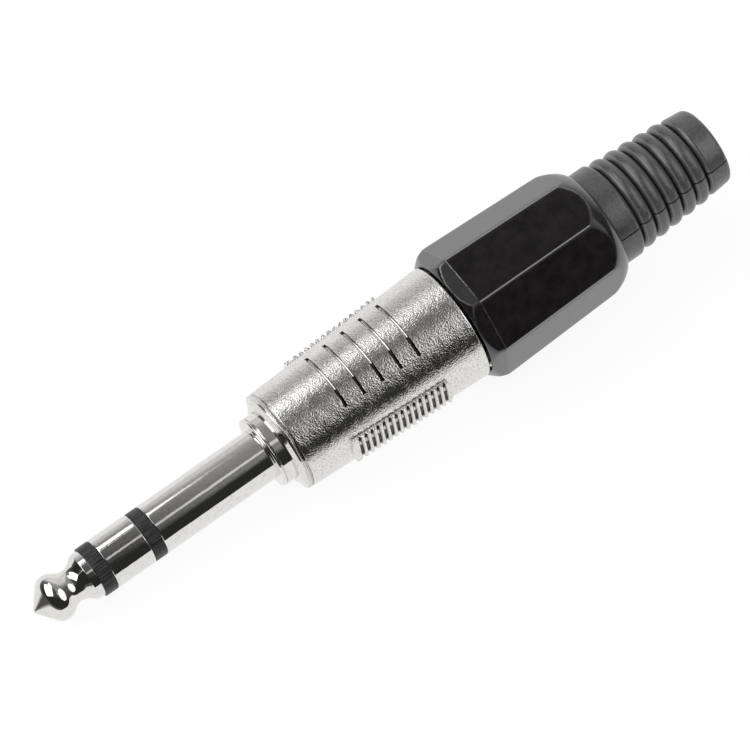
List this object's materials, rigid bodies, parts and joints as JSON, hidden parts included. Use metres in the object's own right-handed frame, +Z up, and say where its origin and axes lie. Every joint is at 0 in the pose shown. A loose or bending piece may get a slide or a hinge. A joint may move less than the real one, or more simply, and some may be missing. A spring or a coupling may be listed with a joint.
{
  "type": "stereo jack plug",
  "caption": "Three-pole 6.35 mm audio jack plug with a die-cast shell, octagonal screw cap, cable chuck and ribbed boot.",
  "frame": {"origin": "centre of the collar's front face, where the plug stops against a jack", "axes": "+X from the tip to the cable end, +Z up; the plug's own axis rises towards the cable end by its lie on the ball and one flat of the cap"},
  "size_m": [0.0949, 0.0162, 0.0176],
  "materials": {
    "polished_nickel": "polished nickel plate on turned brass",
    "cast_nickel": "satin nickel plate on a grainy die casting",
    "insulator_black": "black moulded plastic, turned flush",
    "inner_insulation": "natural plastic tube",
    "tinned_lug": "tinned sheet brass",
    "fibre_washer": "brown fibre board",
    "lining": "thin grey plastic tube",
    "chuck_plastic": "grey moulded nylon",
    "cap_plastic": "glossy black moulded plastic",
    "boot_rubber": "dark semi-matt soft plastic"
  },
  "bodies": {
    "plug": {"tip": "polished_nickel", "ring_contact": "polished_nickel", "sleeve_contact": "polished_nickel", "tip_insulator": "insulator_black", "ring_insulator": "insulator_black", "tip_tube": "inner_insulation", "ring_tube": "inner_insulation", "sleeve_lug": "tinned_lug", "ring_lug": "tinned_lug", "tip_lug": "tinned_lug", "ring_lug_washer": "fibre_washer", "tip_lug_washer": "fibre_washer", "shell": "cast_nickel", "lining_tube": "lining", "chuck": "chuck_plastic"},
    "boot": {"boot": "boot_rubber"},
    "cap": {"cap": "cap_plastic"}
  },
  "joints": [
    {"name": "cap_travel", "type": "slide", "parent": "plug", "child": "boot", "axis": [0.996, 0, 0.0894], "range_m": [0, 0.008]},
    {"name": "cap_turn", "type": "hinge", "parent": "boot", "child": "cap", "pos_m": [0.03695, 0, 0.00332], "axis": [0.996, 0, 0.0894], "range_deg": [0, 2880]}
  ],
  "couplings": [
    {"joint": "cap_travel", "follows": "cap_turn", "m_per_rad": 0.00015915}
  ]
}
